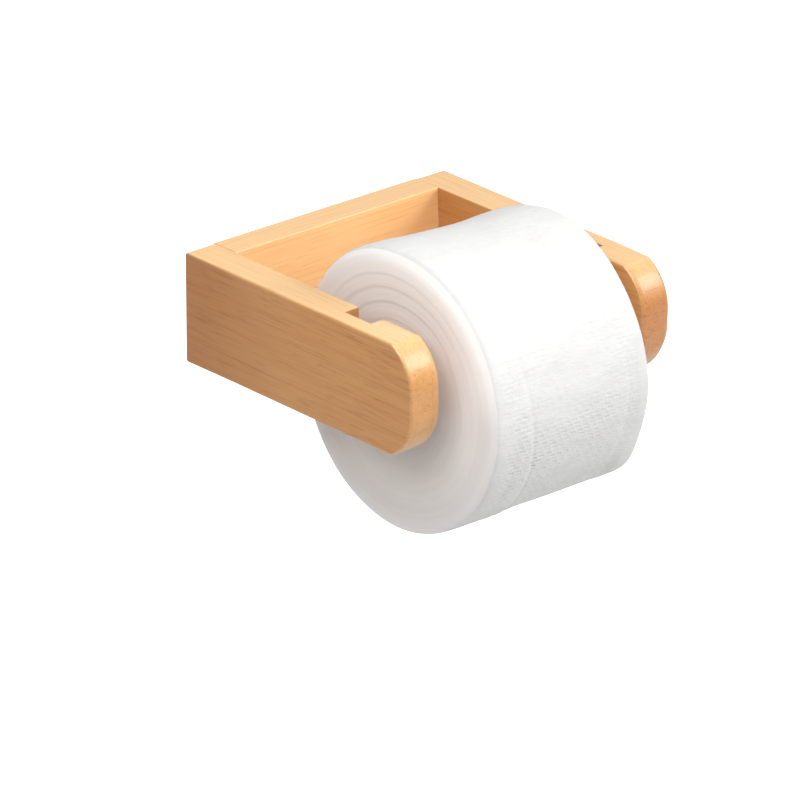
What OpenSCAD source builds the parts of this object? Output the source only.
// Wall-mounted toilet paper holder. Two arms stand out from the ends of a back board, and a
// loose dowel roller drops into a seat in each arm and carries the paper roll.
// Millimetres. The origin is the centre of the back board's wall face, +Z is up, +X is along
// the wall and -Y is out into the room.

/* [Boards] */
// Overall width across both arms
frame_w = 160; // [154:1:180]
// Height of the arms and of the back board
board_h = 55; // [54:1:60]
// Reach of the arms from the wall to the tip of the nose
arm_reach = 158; // [156:1:170]
// Thickness of each arm
arm_t = 17.5; // [16:0.5:20]
// Thickness of the back board
back_t = 16; // [14:0.5:20]

/* [Arm nose] */
// Radius of the two shoulders of the nose
shoulder_r = 25; // [24:0.5:26]
// Height of the flat between the shoulders
nose_flat = 10; // [8:0.5:12]
// Width of the bevel along the inner edge of the nose
inner_bevel = 2.4; // [1:0.2:3]
// Width of the bevel along the outer edge of the nose
outer_bevel = 1; // [0.4:0.2:1.6]

/* [Roller seats] */
// Distance from the wall to the middle of the seat
seat_y = 111.3; // [110:0.1:113]
// Height of the seated roller above the middle of the arms
seat_z = -4; // [-6:0.5:0]
// Width of the open-topped seat
seat_w = 17.4; // [17:0.1:18]
// Depth of the seat into the thickness of the arm
seat_depth = 9; // [7:0.5:10]

/* [Roller] */
// Diameter of the dowel roller
roller_d = 16.4; // [15:0.1:16.6]
// Gap between each end of the roller and the floor of its seat
roller_play = 1; // [0.5:0.1:1.5]
// Chamfer at the ends of the roller
roller_chamfer = 1.2; // [0.6:0.1:2]

/* [Paper] */
// Outer diameter of the paper roll
roll_d = 135; // [100:1:140]
// Width of the paper roll
roll_w = 98; // [90:1:104]
// Sideways place of the roll's middle on the roller
roll_x = 1; // [-6:0.5:6]
// Radius of the soft rims of the roll
rim_r = 3; // [2:0.5:8]
// Inner diameter of the cardboard core
core_id = 43; // [38:0.5:45]
// Thickness of the cardboard
core_wall = 1; // [0.6:0.1:1.6]
// Thickness that the loose last turn stands proud of the roll
tail_t = 0.8; // [0.6:0.1:1.2]
// Angle at which the loose turn starts, from straight out, up being negative
tail_from = -45; // [-60:1:-20]
// Angle at which the loose turn ends below the front of the roll
tail_to = 52; // [30:1:60]

/* [Fixings] */
// Distance between the two wall screw holes
screw_spacing = 64; // [50:1:70]
// Diameter of the wall screw holes
screw_hole_d = 5; // [4:0.1:5.5]
// Diameter of the countersink at the front of each hole
countersink_d = 10; // [9:0.1:11]
// Diameter of the joint dowels
dowel_d = 8; // [6:0.5:8]
// Length of the joint dowels
dowel_len = 31; // [28:1:34]
// Height of the joint dowels above and below the middle
dowel_z = 14; // [12:0.5:16]

/* [Hidden] */

$fn = 96;
bamboo = [0.93, 0.72, 0.46];
bamboo_dark = [0.85, 0.62, 0.38];
birch = [0.90, 0.80, 0.62];
card = [0.72, 0.64, 0.52];
tissue = [0.97, 0.97, 0.96];
tissue_edge = [0.93, 0.93, 0.92];
past = 1;                // how far a cut runs past the face that it opens
hang_gap = 0.3;          // clearance between the roller and the core that hangs on it
glue_gap = 0.05;         // glue line round and behind a joint dowel
dowel_in_arm = 11;       // part of the joint dowel that is in the arm
dowel_chamfer = 1;       // chamfer at the ends of a joint dowel
countersink_depth = (countersink_d - screw_hole_d) / 2;
inner_x = frame_w / 2 - arm_t;
back_w = 2 * inner_x;
shoulder_y = arm_reach - shoulder_r;
roller_len = 2 * (inner_x + seat_depth - roller_play);
roll_z = seat_z + roller_d / 2 + hang_gap - core_id / 2;
core_r = core_id / 2 + core_wall;

// Turns a plan drawn as (distance from the wall, height) into a plate from x up to x + t.
module plate(x, t)
{
    translate([x + t, 0, 0])
        rotate([90, 0, -90])
            linear_extrude(t)
                children();
}

// Turns a half section drawn as (radius, x) about a line along X at y, z.
module lathe(y, z)
{
    translate([0, y, z])
        rotate([0, 90, 0])
            rotate_extrude()
                children();
}

// A round bar along X between two x values with both ends chamfered.
module bar(x0, x1, d, chamfer, y, z)
{
    lathe(y, z)
        polygon([[0, x0], [d / 2 - chamfer, x0], [d / 2, x0 + chamfer], [d / 2, x1 - chamfer],
                 [d / 2 - chamfer, x1], [0, x1]]);
}

// Half section of the nose, from its middle out to the shoulder, with both rims bevelled.
module nose_section()
{
    x_out = -frame_w / 2;
    x_in = -inner_x;
    polygon([[0, x_out], [shoulder_r - outer_bevel, x_out], [shoulder_r, x_out + outer_bevel],
             [shoulder_r, x_in - inner_bevel], [shoulder_r - inner_bevel, x_in], [0, x_in]]);
}

// The whole nose as a tall round-ended block, before its top and bottom are cut level.
module nose_block()
{
    for (up = [-1, 1])
        lathe(-shoulder_y, up * nose_flat / 2)
            nose_section();
    translate([0, -shoulder_y, -nose_flat / 2])
        linear_extrude(nose_flat)
            rotate([0, 0, -90])
                nose_section();
}

// A long bevel cut along one level edge of the arm's nose, at x and height z.
module edge_bevel(x, z, size, from_y, to_y)
{
    translate([x, -(from_y + to_y) / 2, z])
        rotate([0, 45, 0])
            cube([size * sqrt(2), to_y - from_y, size * sqrt(2)], center = true);
}

// The seat that the roller drops into, as seen from the side.
module seat_plan()
{
    translate([seat_y, seat_z])
        circle(d = seat_w);
    translate([seat_y - seat_w / 2, seat_z])
        square([seat_w, board_h]);
}

module dowel_holes(side)
{
    for (up = [-1, 1])
        translate([side * (inner_x + dowel_in_arm + glue_gap), -back_t / 2, up * dowel_z])
            rotate([0, -side * 90, 0])
                cylinder(h = dowel_len + 2 * glue_gap, d = dowel_d + 2 * glue_gap);
}

module left_arm_blank()
{
    nose_y = seat_y + seat_w / 2;
    difference()
    {
        union()
        {
            plate(-frame_w / 2, arm_t)
                translate([0, -board_h / 2])
                    square([shoulder_y, board_h]);
            intersection()
            {
                nose_block();
                translate([-frame_w / 2 - past, -arm_reach - past, -board_h / 2])
                    cube([arm_t + 2 * past, shoulder_r + 2 * past, board_h]);
            }
        }
        plate(-inner_x - seat_depth, seat_depth + past)
            seat_plan();
        dowel_holes(-1);
        for (up = [-1, 1])
            edge_bevel(-inner_x, up * board_h / 2, inner_bevel, nose_y, arm_reach);
    }
}

module left_arm()
{
    color(bamboo_dark)
        left_arm_blank();
}

module right_arm()
{
    color(bamboo_dark)
        mirror([1, 0, 0])
            left_arm_blank();
}

module back_board()
{
    color(bamboo)
        difference()
        {
            translate([-inner_x, -back_t, -board_h / 2])
                cube([back_w, back_t, board_h]);
            for (side = [-1, 1])
            {
                dowel_holes(side);
                translate([side * screw_spacing / 2, past, 0])
                    rotate([90, 0, 0])
                        cylinder(h = back_t + 2 * past, d = screw_hole_d);
                translate([side * screw_spacing / 2, countersink_depth - back_t, 0])
                    rotate([90, 0, 0])
                        cylinder(h = countersink_depth, d1 = screw_hole_d, d2 = countersink_d);
            }
        }
}

// One glued dowel: side is -1 for the left joint and 1 for the right, up is 1 for the upper.
module joint_dowel(side, up)
{
    outer_end = side * (inner_x + dowel_in_arm);
    inner_end = outer_end - side * dowel_len;
    color(birch)
        bar(min(outer_end, inner_end), max(outer_end, inner_end), dowel_d, dowel_chamfer,
            -back_t / 2, up * dowel_z);
}

module roller_rod()
{
    color(bamboo)
        bar(-roller_len / 2, roller_len / 2, roller_d, roller_chamfer, -seat_y, seat_z);
}

module core_tube()
{
    color(card)
        lathe(-seat_y, roll_z)
            translate([core_id / 2, roll_x - roll_w / 2])
                square([core_wall, roll_w]);
}

// Corner of the wound paper, as an arc of its rim about a centre, in steps of 15 degrees.
function rim(x, from) =
    [for (a = [from:15:from + 90]) [roll_d / 2 - rim_r + rim_r * cos(a), x + rim_r * sin(a)]];

module paper_roll()
{
    x0 = roll_x - roll_w / 2;
    x1 = roll_x + roll_w / 2;
    color(tissue)
        lathe(-seat_y, roll_z)
            polygon(concat([[core_r, x1], [core_r, x0]], rim(x0 + rim_r, -90), rim(x1 - rim_r, 0)));
}

// The last turn of paper, which lies round the front of the roll between two angles.
module paper_tail()
{
    flat_w = roll_w - 2 * rim_r;
    color(tissue_edge)
        translate([roll_x - flat_w / 2, -seat_y, roll_z])
            rotate([tail_from, 0, 0])
                rotate([90, 0, 90])
                    rotate([0, 0, 180])
                        rotate_extrude(angle = tail_to - tail_from)
                            translate([roll_d / 2, 0])
                                square([tail_t, flat_w]);
}

back_board();
left_arm();
right_arm();
joint_dowel(-1, 1);  // dowel_left_upper
joint_dowel(-1, -1);  // dowel_left_lower
joint_dowel(1, 1);  // dowel_right_upper
joint_dowel(1, -1);  // dowel_right_lower
roller_rod();
core_tube();
paper_roll();
paper_tail();
